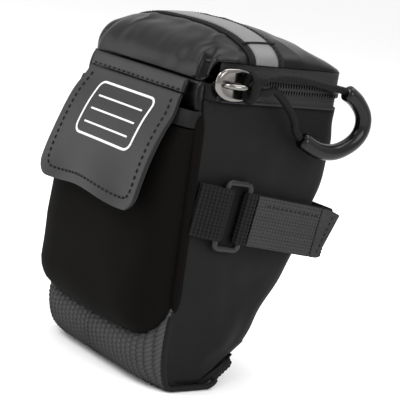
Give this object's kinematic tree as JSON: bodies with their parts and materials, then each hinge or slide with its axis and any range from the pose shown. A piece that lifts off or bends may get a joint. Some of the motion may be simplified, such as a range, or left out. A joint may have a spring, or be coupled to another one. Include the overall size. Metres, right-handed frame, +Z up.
{
  "type": "belt pouch",
  "caption": "Soft padded wedge pouch with a zipped padded lid, a front pocket under a flap, a ribbed wrap round its nose and a back strap through a side ring.",
  "frame": {"origin": "middle of the inner face of the strap behind the pouch, where the belt or rail that holds it passes", "axes": "+Z up towards the lid, +Y out of the flat back, +X towards the side with the zip pull and the strap ring"},
  "size_m": [0.1167, 0.1174, 0.1741],
  "materials": {
    "softshell": "matte charcoal laminated softshell",
    "neoprene": "very matte black neoprene",
    "vinyl": "satin dark grey coated vinyl",
    "coated_nylon": "satin coated nylon",
    "webbing": "black woven webbing",
    "foam": "soft closed-cell foam",
    "lining_cloth": "smooth grey lining cloth",
    "knit": "fuzzy loop pile",
    "nickel": "polished nickel plate",
    "plastic": "matte black moulded plastic",
    "rubber": "soft gloss black rubber",
    "reflective": "grey retroreflective tape"
  },
  "bodies": {
    "pouch": {"right_side_panel": "softshell", "left_side_panel": "softshell", "front_panel": "softshell", "back_panel": "softshell", "base_panel": "softshell", "ribbed_wrap": "webbing", "wrap_binding_right": "webbing", "wrap_binding_left": "webbing", "wrap_end_tab": "webbing", "side_foam_right": "foam", "side_foam_left": "foam", "front_foam": "foam", "back_foam": "foam", "inner_lining": "lining_cloth", "base_stiffener": "plastic", "pocket_pouch": "neoprene", "pocket_hem": "webbing", "pocket_loop_patch": "knit", "flap_band": "vinyl", "lower_zip_tape": "webbing", "lower_zip_coil": "plastic", "zip_stop_right": "nickel", "zip_stop_left": "nickel", "anchor_webbing": "webbing", "strap_ring": "plastic", "back_strap": "webbing", "strap_loop_field": "knit"},
    "flap": {"flap_outer": "vinyl", "flap_lining": "lining_cloth", "flap_hook_patch": "plastic"},
    "lid": {"lid_shell": "coated_nylon", "lid_foam": "foam", "lid_skirt": "coated_nylon", "lid_lining": "lining_cloth", "strip_webbing": "webbing", "reflective_strip": "reflective", "upper_zip_tape": "webbing", "upper_zip_coil": "plastic"},
    "zip_slider": {"slider_body": "nickel", "slider_bridge": "nickel", "pull_bight": "webbing"},
    "pull_knot": {"pull_knot": "webbing"},
    "pull_loop": {"pull_cord": "webbing", "pull_tube": "rubber"},
    "strap_tail": {"strap_tail": "knit", "tail_hem": "webbing", "tail_hook_pad": "plastic"}
  },
  "joints": [
    {"name": "lid_hinge", "type": "hinge", "parent": "pouch", "child": "lid", "pos_m": [0, -0.08738, 0.07034], "axis": [1, 0, 0], "range_deg": [0, 90]},
    {"name": "flap_hinge", "type": "hinge", "parent": "pouch", "child": "flap", "pos_m": [0, -0.09258, 0.06254], "axis": [-1, 0, 0], "range_deg": [0, 100]},
    {"name": "zip_slide", "type": "slide", "parent": "pouch", "child": "zip_slider", "axis": [0, 1, 0], "range_m": [0, 0.045]},
    {"name": "pull_flip", "type": "hinge", "parent": "zip_slider", "child": "pull_knot", "pos_m": [0.0594, -0.06318, 0.07234], "axis": [0, 0, -1], "range_deg": [0, 130]},
    {"name": "pull_droop", "type": "hinge", "parent": "pull_knot", "child": "pull_loop", "pos_m": [0.0594, -0.06318, 0.07234], "axis": [1, 0, 0], "range_deg": [-30, 15]},
    {"name": "strap_peel", "type": "hinge", "parent": "pouch", "child": "strap_tail", "pos_m": [0.057, -0.05248, 0.00738], "axis": [0, -0.1392, -0.9903], "range_deg": [0, 150]}
  ]
}
